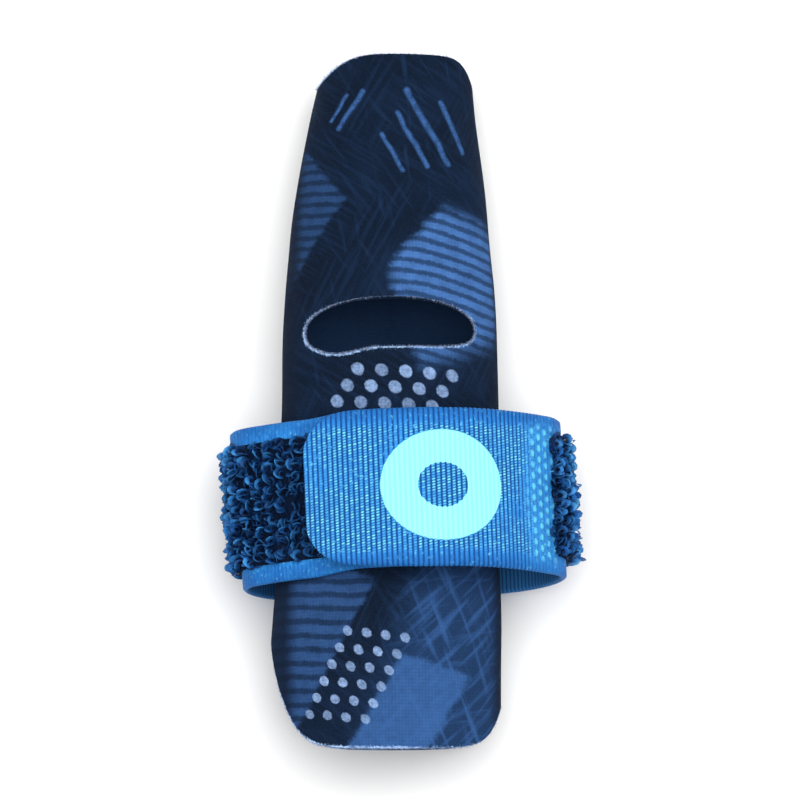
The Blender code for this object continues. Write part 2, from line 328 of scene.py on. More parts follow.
def turn_outward(mesh):
    bm = bmesh.new()
    bm.from_mesh(mesh)
    bmesh.ops.recalc_face_normals(bm, faces=bm.faces[:])
    if bm.calc_volume(signed=True) < 0:
        bmesh.ops.reverse_faces(bm, faces=bm.faces[:])
    bm.to_mesh(mesh)
    bm.free()


def many(template, places, values):
    """One mesh of many copies of a small one. places are each copy's points, and values its numbers."""
    points = get_points(template)
    count = len(places)
    loops = np.array([list(p.vertices) for p in template.polygons], dtype=np.int32)
    faces = (loops[None] + (np.arange(count) * len(points))[:, None, None]).reshape(-1, loops.shape[1])
    mesh = bpy.data.meshes.new("many")
    mesh.from_pydata(places.reshape(-1, 3), [], faces.tolist())
    set_values(mesh, **values)
    return mesh


def add_piece(name, mesh, material, nodes, smooth=True):
    """A piece of the object: it moves with the one body, and takes the place of its solids."""
    mesh.name = name
    piece = bpy.data.objects.new(name, mesh)
    bpy.context.scene.collection.objects.link(piece)
    mesh.materials.clear()
    mesh.materials.append(material)
    if smooth:
        mesh.shade_smooth()
    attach(piece, "root")
    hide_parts(*nodes)
    return piece


# Material helpers


class Wiring:
    """Adds nodes to one material or node group, and joins them."""

    def __init__(self, tree):
        self.tree = tree

    def node(self, kind, inputs=(), **settings):
        node = self.tree.nodes.new(kind)
        for key, value in settings.items():
            setattr(node, key, value)
        for key, value in dict(inputs).items():
            self.feed(node.inputs[key], value)
        return node

    def feed(self, socket, value):
        if isinstance(value, bpy.types.NodeSocket):
            self.tree.links.new(value, socket)
        else:
            socket.default_value = value

    def math(self, operation, *values, clamp=False):
        node = self.node("ShaderNodeMath", dict(enumerate(values)), operation=operation, use_clamp=clamp)
        return node.outputs[0]

    def plus(self, first, second):
        return self.math("ADD", first, second)

    def less(self, first, second):
        return self.math("SUBTRACT", first, second)

    def rest(self, share):
        """What a share lacks to 1."""
        return self.less(1.0, share)

    def times(self, first, second):
        return self.math("MULTIPLY", first, second)

    def scaled(self, value, by, plus):
        return self.math("MULTIPLY_ADD", value, by, plus)

    def over(self, first, second):
        return self.math("DIVIDE", first, second)

    def vector(self, operation, first, second, output=0):
        node = self.node("ShaderNodeVectorMath", {0: first, 1: second}, operation=operation)
        return node.outputs[output]

    def dot(self, first, second):
        return self.vector("DOT_PRODUCT", first, second, output="Value")

    def ramp(self, value, low, high):
        """0 below low, 1 above high, and smooth between them. low may be above high."""
        inputs = {"Value": value, "From Min": low, "From Max": high}
        node = self.node("ShaderNodeMapRange", inputs, interpolation_type="SMOOTHSTEP")
        return node.outputs[0]

    def mix(self, share, first, second):
        node = self.node("ShaderNodeMix", data_type="RGBA")
        self.feed(node.inputs[0], share)
        self.feed(node.inputs[6], first)
        self.feed(node.inputs[7], second)
        return node.outputs[2]

    def lay(self, colour, mask, share, ink):
        """The colour with ink over it where the mask is, at a share of the mask."""
        return self.mix(self.times(mask, share), colour, ink)

    def point(self, x, y):
        return self.node("ShaderNodeCombineXYZ", {0: x, 1: y}).outputs[0]

    def noise(self, vector, scale, detail=2.0, roughness=0.5):
        inputs = {"Vector": vector, "Scale": scale, "Detail": detail, "Roughness": roughness}
        return self.node("ShaderNodeTexNoise", inputs).outputs["Fac"]

    def value(self, name):
        return self.node("ShaderNodeAttribute", attribute_name=name).outputs["Fac"]

    def group(self, group, **inputs):
        node = self.node("ShaderNodeGroup", node_tree=group)
        for key, value in inputs.items():
            self.feed(node.inputs[key], value)
        return node.outputs

    def waves(self, value, pitch):
        """0 to 1 and back, once in each pitch of value."""
        turns = self.times(value, 2 * math.pi / pitch)
        return self.scaled(self.math("SINE", turns), 0.5, 0.5)

    def uneven(self, mottle, scale, fine_scale):
        """Each point's place on the piece, and the mottle's slow and fine values there."""
        place = self.node("ShaderNodeTexCoord").outputs["Object"]
        return place, self.group(mottle, Place=place, **{"Scale": scale, "Fine Scale": fine_scale})

    def bump(self, shader, relief, strength, distance):
        inputs = {"Height": relief, "Strength": strength, "Distance": distance}
        self.feed(shader["Normal"], self.node("ShaderNodeBump", inputs).outputs[0])


def new_group(name, inputs, outputs):
    """A node group of numbers and, where an input has no default, vectors."""
    tree = bpy.data.node_groups.new(name, "ShaderNodeTree")
    for key, default in inputs.items():
        kind = "NodeSocketVector" if default is None else "NodeSocketFloat"
        socket = tree.interface.new_socket(key, in_out="INPUT", socket_type=kind)
        if default is not None:
            socket.default_value = default
    for key in outputs:
        tree.interface.new_socket(key, in_out="OUTPUT", socket_type="NodeSocketFloat")
    wiring = Wiring(tree)
    source = wiring.node("NodeGroupInput").outputs
    target = wiring.node("NodeGroupOutput").inputs
    return tree, wiring, source, target


def new_material(name, roughness, sheen=0.0, tint=(1.0, 1.0, 1.0, 1.0), specular=0.3):
    """A material with its shader, and the wiring and the shader's inputs to finish it with."""
    material = bpy.data.materials.new(name)
    material.use_nodes = True
    shader = material.node_tree.nodes["Principled BSDF"]
    shader.inputs["Roughness"].default_value = roughness
    shader.inputs["Sheen Weight"].default_value = sheen
    shader.inputs["Sheen Tint"].default_value = tint
    shader.inputs["Specular IOR Level"].default_value = specular
    return material, Wiring(material.node_tree), shader.inputs


def srgb(r, g, b):
    """A colour as a screen shows it, 0 to 255, as the light it stands for."""
    def light(c):
        c /= 255
        return c / 12.92 if c <= 0.04045 else ((c + 0.055) / 1.055) ** 2.4
    return (light(r), light(g), light(b), 1.0)


def make_cloth_mottle():
    """Slow and fine unevenness, as dye, dust and handling leave in any cloth."""
    tree, w, source, target = new_group(
        "cloth_mottle",
        {"Place": None, "Scale": 300.0, "Fine Scale": 4000.0},
        ["Slow", "Fine"],
    )
    w.feed(target["Slow"], w.ramp(w.noise(source["Place"], source["Scale"], 4.0, 0.6), 0.3, 0.7))
    w.feed(target["Fine"], w.ramp(w.noise(source["Place"], source["Fine Scale"], 3.0, 0.7), 0.25, 0.75))
    return tree


def make_knit():
    """The fine courses of a knitted face, as a height."""
    tree, w, source, target = new_group(
        "knit",
        {"Around": 0.0, "Along": 0.0, "Pitch": KNIT_PITCH},
        ["Height"],
    )
    course = w.over(source["Along"], source["Pitch"])
    wale = w.over(source["Around"], source["Pitch"])
    bow = w.times(w.waves(wale, 1.0), 0.35)
    rows = w.scaled(w.waves(w.plus(course, bow), 1.0), 0.7, 0.3)
    columns = w.scaled(w.waves(wale, 1.0), 0.6, 0.4)
    w.feed(target["Height"], w.times(rows, columns))
    return tree


def make_pen_stroke():
    """1 along a straight stroke between two points, and 0 away from it."""
    tree, w, source, target = new_group(
        "pen_stroke",
        {"Place": None, "Start": None, "End": None, "Width": 0.5},
        ["Mask"],
    )
    along = w.vector("SUBTRACT", source["End"], source["Start"])
    from_start = w.vector("SUBTRACT", source["Place"], source["Start"])
    share = w.math("DIVIDE", w.dot(from_start, along), w.dot(along, along), clamp=True)
    nearest = w.node("ShaderNodeVectorMath", {0: along, "Scale": share}, operation="SCALE").outputs[0]
    away = w.vector("SUBTRACT", from_start, nearest)
    distance = w.math("SQRT", w.dot(away, away))
    w.feed(target["Mask"], w.ramp(distance, source["Width"], w.times(source["Width"], 0.15)))
    return tree


def make_pen_hatch():
    """Long uneven pencil strokes that all run one way."""
    tree, w, source, target = new_group(
        "pen_hatch",
        {"Place": None, "Turn": 0.0, "Pitch": 0.8, "Low": 0.47},
        ["Lines"],
    )
    inputs = {"Vector": source["Place"], "Angle": source["Turn"]}
    turned = w.node("ShaderNodeVectorRotate", inputs, rotation_type="Z_AXIS").outputs[0]
    parts = w.node("ShaderNodeSeparateXYZ", {0: turned}).outputs
    stretched = w.point(w.times(parts[0], 0.11), w.over(parts[1], source["Pitch"]))
    lines = w.noise(stretched, 1.0, 2.0, 0.45)
    w.feed(target["Lines"], w.ramp(lines, source["Low"], w.plus(source["Low"], 0.2)))
    return tree


def sleeve_print(w, leftward, along, stroke, hatch):
    """The printed colour, from places round the sleeve to the left and along it, in millimetres."""
    place = w.point(leftward, along)
    wobble = w.less(w.noise(place, 0.35, 3.0), 0.5)
    speck = w.less(w.noise(place, 2.6, 2.0), 0.5)

    def side(across, up, offset, soft=0.5):
        """1 on one side of a straight line, 0 on the other."""
        away = w.scaled(leftward, across, w.scaled(along, up, offset))
        away = w.scaled(wobble, 1.6, w.scaled(speck, 0.9, away))
        return w.ramp(away, -soft, soft)

    def all_of(*masks):
        result = masks[0]
        for mask in masks[1:]:
            result = w.times(result, mask)
        return result

    def lines(turn, pitch, low):
        return w.group(hatch, Place=place, Turn=turn, Pitch=pitch, Low=low)["Lines"]

    # The ground, shaded with pencil strokes that lean one way here and another there
    colour = w.mix(w.ramp(w.noise(place, 0.10, 3.0), 0.35, 0.68), srgb(10, 20, 35), srgb(14, 28, 48))
    here = w.ramp(w.noise(place, 0.075, 1.0), 0.44, 0.56)
    there = w.rest(here)
    colour = w.lay(colour, all_of(lines(1.1, 0.62, 0.44), here), 0.55, srgb(22, 39, 66))
    colour = w.lay(colour, all_of(lines(-0.55, 0.66, 0.45), there), 0.55, srgb(21, 38, 65))
    colour = w.lay(colour, lines(2.2, 0.8, 0.54), 0.5, srgb(24, 44, 73))
    colour = w.lay(colour, lines(1.75, 1.3, 0.6), 0.6, srgb(27, 50, 84))

    # A lighter part beside a corner of the base, crossed with longer strokes
    shaded = all_of(side(-1.0, -0.30, -11.0, 3.4), side(0.0, -1.0, -15.5, 2.0))
    colour = w.lay(colour, shaded, 0.85, srgb(31, 57, 95))
    colour = w.lay(colour, all_of(lines(0.75, 0.9, 0.48), shaded), 0.75, srgb(50, 87, 141))
    colour = w.lay(colour, all_of(lines(-1.15, 1.0, 0.52), shaded), 0.65, srgb(54, 92, 148))
    colour = w.lay(colour, all_of(lines(0.2, 0.8, 0.55), shaded), 0.5, srgb(48, 84, 136))

    # Wedges of cross stripes
    bow = w.scaled(w.ramp(leftward, 4.0, 16.0), -0.7, w.scaled(wobble, 0.6, along))
    wave = w.scaled(w.ramp(leftward, -1.0, -15.0), 2.4, bow)
    wave = w.scaled(speck, 0.45, wave)
    stripes = w.scaled(w.ramp(w.waves(wave, 1.46), 0.08, 0.72), 0.68, 0.32)
    wide_stripes = w.scaled(w.ramp(w.waves(wave, 1.68), 0.08, 0.66), 0.68, 0.32)
    worn = w.scaled(w.ramp(w.noise(place, 0.55, 4.0, 0.6), 0.25, 0.7), 0.3, 0.7)
    upper_wedge = all_of(side(1.0, 0.72, -24.0), side(0.85, -0.75, 14.2), side(0.45, -0.9, 24.0))
    wide_part = all_of(side(-0.95, -0.80, 13.2, 0.8), side(0.3, -1.0, 26.0, 1.6), side(-0.9, 0.28, -4.2, 0.9))
    low_part = all_of(side(-1.0, -0.1, -7.4, 0.9), side(0.1, -1.0, 14.0))
    middle_wedge = all_of(w.math("MAXIMUM", wide_part, low_part), side(0.35, 1.0, -2.2, 2.4))
    low_wedge = all_of(side(1.0, 0.55, 11.6), side(0.5, -1.0, -24.6), side(0.65, 1.0, 33.5, 0.7))
    colour = w.lay(colour, all_of(upper_wedge, stripes, worn), 0.9, srgb(42, 73, 118))
    colour = w.lay(colour, all_of(middle_wedge, stripes, worn), 0.97, srgb(71, 115, 179))
    colour = w.lay(colour, all_of(low_wedge, wide_stripes, worn), 0.92, srgb(48, 82, 133))

    # Separate chalky strokes near the tip, side by side
    drift = w.node("ShaderNodeTexNoise", {"Vector": place, "Scale": 0.3, "Detail": 4.0}).outputs["Color"]
    drift = w.vector("MULTIPLY", drift, (0.8, 0.8, 0.0))
    hand = w.vector("ADD", place, drift)
    strokes = (
        (-9.0, 32.2, -5.6, 38.6, 0.50), (-6.8, 30.3, -1.2, 40.0, 0.58), (-4.2, 29.8, -0.2, 36.9, 0.48),
        (-1.2, 29.3, 1.7, 34.0, 0.42), (4.4, 39.8, 7.2, 35.0, 0.48), (6.4, 39.4, 8.3, 36.2, 0.38),
    )
    drawn = None
    for x0, y0, x1, y1, width in strokes:
        ends = {"Place": hand, "Start": (x0, y0, 0.0), "End": (x1, y1, 0.0), "Width": width}
        one = w.group(stroke, **ends)["Mask"]
        drawn = one if drawn is None else w.math("MAXIMUM", drawn, one)
    chalk = w.scaled(w.ramp(w.noise(place, 1.2, 5.0, 0.7), 0.32, 0.62), 0.55, 0.45)
    colour = w.lay(colour, all_of(drawn, chalk), 0.85, srgb(62, 103, 164))

    # A plain lighter patch that runs down to the base edge
    band = all_of(side(0.9, 0.55, 29.0), side(-0.9, -0.55, -20.0))
    patch = all_of(band, side(1.0, 0.0, 11.2), side(0.25, -1.0, -32.4))
    weak = w.scaled(w.ramp(w.noise(place, 0.9, 3.0), 0.3, 0.7), 0.25, 0.75)
    colour = w.lay(colour, all_of(patch, weak), 0.85, srgb(56, 96, 154))

    def dots(steps, reach, lean, rise, start, first, last, climb):
        """Round dots in rows. Row 0 passes through start. first and last are the corners' dots and rows."""
        x = w.less(leftward, start[0])
        up = w.less(w.scaled(wobble, 0.3, along), start[1])
        y = w.scaled(speck, 0.14, w.scaled(x, rise, up))
        v = w.over(y, steps[1])
        row = w.math("FLOOR", w.plus(v, 0.5))
        sheared = w.scaled(y, -lean, w.scaled(speck, 0.3, x))
        u = w.scaled(row, climb, w.over(sheared, steps[0]))
        dot = w.math("FLOOR", w.plus(u, 0.5))
        off_u = w.over(w.math("ABSOLUTE", w.less(u, dot)), reach[0])
        off_v = w.over(w.math("ABSOLUTE", w.less(v, row)), reach[1])
        off = w.plus(w.math("POWER", off_u, 2.0), w.math("POWER", off_v, 2.0))
        limits = []
        for number, low, high in ((row, first[1], last[1]), (dot, first[0], last[0])):
            limits += [w.ramp(number, low - 0.6, low - 0.4), w.ramp(number, high + 0.6, high + 0.4)]
        each = w.node("ShaderNodeTexWhiteNoise", {"Vector": w.point(dot, row)}, noise_dimensions="2D")
        strength = w.scaled(each.outputs["Value"], 0.4, 0.6)
        return all_of(w.ramp(off, 1.25, 0.7), *limits, strength)

    # Rows of small pale dots, one band under the slot and one across the base
    under_slot = dots((3.0, 2.1), (0.27, 0.38), 0.1, -0.06, (-5.0, 2.4), (-1, -2), (3, 0), 0.5)
    at_base = dots((2.4, 2.1), (0.25, 0.28), 0.1, -0.12, (5.4, -36.2), (-2, -2), (1, 3), 0.5)
    faded = w.scaled(w.ramp(w.noise(place, 1.6, 4.0, 0.65), 0.3, 0.65), 0.5, 0.45)
    colour = w.lay(colour, all_of(w.math("MAXIMUM", under_slot, at_base), faded), 1.0, srgb(150, 180, 226))

    # Painted shade along both sides of the sleeve, darker where the tube turns away
    outer = w.math("ABSOLUTE", w.plus(leftward, 1.3))
    return w.lay(colour, w.ramp(outer, 12.4, 15.2), 0.9, srgb(13, 24, 41))


def make_sleeve_material(mottle, knit, stroke, hatch):
    tint = srgb(120, 160, 220)
    material, w, shader = new_material("printed_knit", 0.85, sheen=0.01, tint=tint, specular=0.03)
    around = w.value("around")
    along = w.value("along")
    inside = w.value("inside")
    fray = w.value("fray")
    place, uneven = w.uneven(mottle, 260.0, 4200.0)
    height = w.group(knit, Around=around, Along=along)["Height"]
    low = w.rest(height)

    printed = sleeve_print(w, w.times(around, -1000.0), w.times(along, 1000.0), stroke, hatch)
    # Painted shade in the knit's low courses, between the raised loops
    printed = w.lay(printed, low, 0.24, srgb(11, 20, 34))
    printed = w.lay(printed, uneven["Fine"], 0.02, srgb(100, 140, 198))
    broken = w.ramp(w.noise(place, 1400.0, 3.0, 0.6), 0.34, 0.58)
    ragged = w.scaled(w.less(uneven["Fine"], 0.5), 0.7, fray)
    frayed = w.times(w.ramp(ragged, 0.4, 0.8), w.scaled(broken, 0.7, 0.25))
    printed = w.mix(frayed, printed, srgb(164, 196, 240))

    # The lining is lighter on the knit's raised loops: painted light on the crests, painted shade between
    # them
    lining = w.mix(w.times(height, 0.5), srgb(24, 42, 68), srgb(34, 58, 92))
    foam_shade = w.ramp(w.noise(place, 5000.0, 3.0, 0.7), 0.3, 0.7)
    foam = w.mix(foam_shade, srgb(15, 27, 46), srgb(40, 66, 106))
    skins = w.math("MAXIMUM", w.ramp(inside, 0.34, 0.10), w.times(w.ramp(inside, 0.80, 0.95), 0.6))
    threads = w.scaled(broken, 0.55, 0.15)
    bare = w.times(skins, w.times(threads, w.scaled(fray, 0.7, 0.3)))
    foam = w.mix(bare, foam, srgb(164, 194, 238))
    colour = w.mix(w.ramp(inside, 0.03, 0.06), printed, foam)
    colour = w.mix(w.ramp(inside, 0.90, 0.97), colour, lining)
    w.feed(shader["Base Color"], colour)
    w.feed(shader["Roughness"], w.scaled(uneven["Slow"], 0.14, 0.74))
    foam_part = w.times(w.ramp(inside, 0.03, 0.06), w.ramp(inside, 0.97, 0.90))
    relief = w.scaled(uneven["Fine"], 0.6, height)
    relief = w.scaled(foam_shade, w.times(foam_part, 1.5), relief)
    w.bump(shader, relief, 0.55, 0.12 * MM)
    return material


def make_webbing_material(mottle):
    tint = srgb(150, 210, 255)
    material, w, shader = new_material("ribbed_webbing", 0.55, sheen=0.02, tint=tint, specular=0.08)
    run = w.value("run")
    across = w.value("across")
    side = w.value("side")
    ribbed = w.value("ribbed")
    _, uneven = w.uneven(mottle, 380.0, 6500.0)

    ribs = w.over(run, RIB_PITCH)
    rib_number = w.math("FLOOR", ribs)
    from_middle = w.less(w.math("FRACT", ribs), 0.5)
    in_rib = w.math("ABSOLUTE", from_middle)
    crest = w.ramp(in_rib, 0.5, 0.16)
    luck = w.node("ShaderNodeTexWhiteNoise", {"W": rib_number}, noise_dimensions="1D").outputs["Value"]
    shift = w.scaled(luck, 0.5, w.math("FRACT", w.times(rib_number, 0.5)))
    shift = w.scaled(from_middle, 0.45, shift)
    threads = w.plus(w.over(across, THREAD_PITCH), shift)
    in_thread = w.math("ABSOLUTE", w.less(w.math("FRACT", threads), 0.5))
    knot = w.ramp(in_thread, 0.42, 0.12)
    cell = w.point(rib_number, w.math("FLOOR", threads))
    each = w.node("ShaderNodeTexWhiteNoise", {"Vector": cell}, noise_dimensions="2D").outputs["Value"]
    glint = w.scaled(w.math("POWER", each, 1.9), 1.0, 0.14)
    spot = w.times(w.times(knot, w.ramp(in_rib, 0.42, 0.1)), glint)

    # Crossing threads show only between the plain edges, and less where the weave is drawn tight
    edge = w.math("ABSOLUTE", across)
    body = w.ramp(edge, STRAP_WIDTH / 2 - 1.5 * MM, STRAP_WIDTH / 2 - 2.6 * MM)
    drift = w.noise(w.point(w.times(run, 200.0), w.times(across, 140.0)), 1.0, 3.0)
    strength = w.times(w.times(body, ribbed), w.ramp(drift, 0.22, 0.6))

    # Raised welds in offset rows beside the pile's end
    weld_run = w.over(w.less(run, RIGHT_BEND), WELD_PITCH[0])
    weld_across = w.scaled(w.math("FLOOR", weld_run), 0.5, w.over(across, WELD_PITCH[1]))
    weld_u = w.less(w.math("FRACT", weld_run), 0.5)
    weld_v = w.less(w.math("FRACT", weld_across), 0.5)
    weld_from = w.math("SQRT", w.scaled(weld_u, weld_u, w.times(weld_v, weld_v)))
    weld_from = w.scaled(w.less(uneven["Fine"], 0.5), 0.3, weld_from)
    weld = w.ramp(weld_from, 0.5, 0.2)
    first = RIGHT_BEND + PILE_START
    last = first + WELD_REACH
    drifting = w.scaled(w.less(drift, 0.5), 3 * MM, run)
    welded = w.times(w.ramp(run, first - 0.1 * MM, first + 0.4 * MM), w.ramp(drifting, last + MM, last - MM))
    welded = w.times(welded, w.ramp(edge, 9.2 * MM, 8.0 * MM))

    ribs_show = w.scaled(ribbed, 0.72, 0.28)
    flat_blue = w.mix(w.ramp(uneven["Slow"], 0.1, 0.9), srgb(38, 122, 202), srgb(54, 150, 232))
    # Painted shade in the grooves between the ribs, painted light on their crests
    rib_blue = w.mix(crest, srgb(11, 54, 116), srgb(46, 138, 220))
    colour = w.mix(ribs_show, flat_blue, rib_blue)
    # Painted shade between the crossing threads, then painted highlights (glints) on the crossings
    colour = w.lay(colour, w.times(w.rest(knot), strength), 0.62, srgb(13, 62, 126))
    bright = w.times(spot, strength)
    colour = w.lay(colour, bright, 1.15, srgb(130, 236, 255))
    plain = w.mix(uneven["Fine"], srgb(34, 116, 200), srgb(56, 152, 234))
    colour = w.lay(colour, welded, 0.7, plain)
    # Painted highlight on each raised weld
    raised = w.times(weld, welded)
    colour = w.lay(colour, raised, 0.9, srgb(100, 206, 255))
    # Painted sparkle highlights, and random dark specks, where the crossing threads show little
    scatter = w.noise(w.point(w.times(run, 2600.0), w.times(across, 1500.0)), 1.0, 2.0)
    faint_weave = w.rest(w.times(strength, 0.8))
    painted_sparkle = w.times(w.ramp(scatter, 0.60, 0.73), faint_weave)
    colour = w.lay(colour, painted_sparkle, 0.65, srgb(120, 220, 255))
    dull = w.times(w.ramp(scatter, 0.44, 0.3), faint_weave)
    colour = w.lay(colour, dull, 0.4, srgb(16, 72, 140))
    colour = w.lay(colour, w.rest(uneven["Slow"]), 0.14, srgb(24, 80, 154))
    # Painted shade towards both edges of the webbing, where it rounds over
    colour = w.lay(colour, w.ramp(edge, 7.4 * MM, 9.6 * MM), 0.52, srgb(16, 70, 138))

    # The plain ring printed on the tab, pressed into the weave
    ring_run = w.less(run, LOOP_LENGTH + RING_PLACE[0])
    ring_across = w.less(across, RING_PLACE[1])
    squares = w.scaled(ring_run, ring_run, w.times(ring_across, ring_across))
    worn = w.scaled(w.less(crest, 0.5), 0.08 * MM, w.math("SQRT", squares))
    within = w.ramp(worn, RING_OUTER + 0.07 * MM, RING_OUTER - 0.07 * MM)
    ring = w.times(within, w.ramp(worn, RING_INNER - 0.07 * MM, RING_INNER + 0.07 * MM))
    ring = w.times(ring, w.ramp(side, 0.6, 0.9))
    # The ring's ink is darker in the weave's grooves and between its threads: painted shade
    sunk = w.rest(crest)
    pressed = w.math("MAXIMUM", sunk, w.times(w.rest(knot), 0.5))
    ink = w.mix(w.times(pressed, 0.75), srgb(154, 244, 250), srgb(116, 220, 243))
    colour = w.mix(ring, colour, ink)

    # The back of the webbing, inside the loop, is painted darker as painted shade, with painted shade in its
    # grooves
    back = w.mix(crest, srgb(32, 78, 128), srgb(54, 120, 184))
    colour = w.mix(w.ramp(side, 0.4, -0.4), colour, back)
    w.feed(shader["Base Color"], colour)
    rough = w.scaled(uneven["Slow"], 0.12, 0.5)
    w.feed(shader["Roughness"], w.scaled(ring, -0.08, rough))

    loose = w.rest(w.times(ring, 0.8))
    weave = w.scaled(w.times(crest, ribs_show), 0.4, bright)
    relief = w.scaled(raised, 2.0, w.times(weave, loose))
    relief = w.scaled(w.plus(uneven["Fine"], scatter), 0.3, relief)
    w.bump(shader, relief, 0.8, 0.12 * MM)
    return material


def make_pile_material(mottle):
    tint = srgb(120, 190, 255)
    material, w, shader = new_material("curled_pile", 0.45, sheen=0.02, tint=tint, specular=0.12)
    shade = w.value("shade")
    height = w.value("height")
    _, uneven = w.uneven(mottle, 700.0, 9000.0)
    dark = w.mix(shade, srgb(10, 33, 70), srgb(24, 74, 138))
    bright = w.mix(shade, srgb(40, 106, 186), srgb(84, 178, 250))
    # Painted light: loops lighter towards their tops, painted shade near the backing
    lit = w.times(w.ramp(height, 0.08, 0.84), w.scaled(uneven["Slow"], 0.4, 0.6))
    colour = w.mix(lit, dark, bright)
    # Painted rim light on the tallest tips, which include the outermost loops at the bends
    tips = w.times(w.ramp(height, 0.75, 1.0), w.ramp(shade, 0.35, 0.9))
    w.feed(shader["Base Color"], w.lay(colour, tips, 0.5, srgb(120, 205, 250)))
    w.feed(shader["Roughness"], w.scaled(uneven["Fine"], 0.2, 0.32))
    twist = w.waves(w.value("twist"), 1.0)
    relief = w.plus(twist, uneven["Fine"])
    w.bump(shader, relief, 0.5, 0.04 * MM)
    return material


def make_backing_material(mottle):
    material, w, shader = new_material("pile_backing", 0.85, specular=0.05)
    _, uneven = w.uneven(mottle, 600.0, 7000.0)
    w.feed(shader["Base Color"], w.mix(uneven["Fine"], srgb(5, 12, 26), srgb(14, 32, 60)))
    w.feed(shader["Roughness"], w.scaled(uneven["Slow"], 0.15, 0.75))
    w.bump(shader, uneven["Fine"], 0.6, 0.10 * MM)
    return material


def make_fuzz_material(mottle):
    tint = srgb(200, 220, 255)
    material, w, shader = new_material("frayed_thread", 0.7, sheen=0.03, tint=tint, specular=0.1)
    _, uneven = w.uneven(mottle, 500.0, 5000.0)
    colour = w.mix(w.value("shade"), srgb(70, 108, 168), srgb(206, 222, 246))
    w.feed(shader["Base Color"], w.lay(colour, uneven["Slow"], 0.25, srgb(40, 70, 120)))
    w.feed(shader["Roughness"], w.scaled(uneven["Fine"], 0.2, 0.6))
    return material


def make_hook_material(mottle):
    material, w, shader = new_material("hook_plastic", 0.35, specular=0.5)
    _, uneven = w.uneven(mottle, 500.0, 8000.0)
    w.feed(shader["Base Color"], w.mix(uneven["Slow"], srgb(16, 24, 38), srgb(30, 44, 66)))
    w.feed(shader["Roughness"], w.scaled(uneven["Fine"], 0.2, 0.3))
    w.bump(shader, uneven["Fine"], 0.3, 0.05 * MM)
    return material


# The pieces


def sleeve_relief(around, along):
    """Soft unevenness of the foam-backed cloth, outward in metres."""
    u = around * 1000
    v = along * 1000
    soft = 0.10 * np.sin(u * 0.42 + 0.9 * np.sin(v * 0.13)) * np.sin(v * 0.21 + 1.0)
    soft += 0.06 * np.sin(u * 0.23 - v * 0.34 + 2.0)
    near_strap = np.exp(-((v - STRAP_Y * 1000) / 11.0) ** 4)
    return (soft - 0.10 * near_strap) * MM


# The slot's fraying by the turn from its right-hand end, in degrees
SLOT_FRAYING = (
    (0, 0.5), (35, 0.6), (70, 0.2), (110, 0.22), (150, 0.6), (180, 0.9),
    (215, 1.0), (250, 0.95), (300, 0.8), (335, 0.7), (360, 0.5),
)


def fray_at_slot(outline, points):
    """How frayed the slot's rim is at each point, 0 to 1: most at the lower left, least along the top."""
    away = points[:, :2] - outline.mean(axis=0)
    turn = np.degrees(np.arctan2(away[:, 1] / SLOT_HEIGHT, away[:, 0] / SLOT_WIDTH)) % 360
    amount = np.interp(turn, *zip(*SLOT_FRAYING))
    near = np.clip(1 - distance_to(outline, points[:, :2]) / SLOT_FRAY, 0.0, 1.0)
    return amount * near


def fray_at_base(x):
    """How frayed the base edge is at each x, from 0 to 1."""
    return np.interp(x / MM, (-16, -13, -9, 0, 3, 9, 13), (0.8, 0.95, 1.0, 0.95, 0.6, 0.5, 0.3))


def fray_at_tip(x):
    """How frayed the tip edge is at each x, from 0 to 1."""
    return np.interp(x / MM, (-10.5, -9, -7, -4, 2, 9), (1.0, 1.0, 0.6, 0.3, 0.25, 0.15))


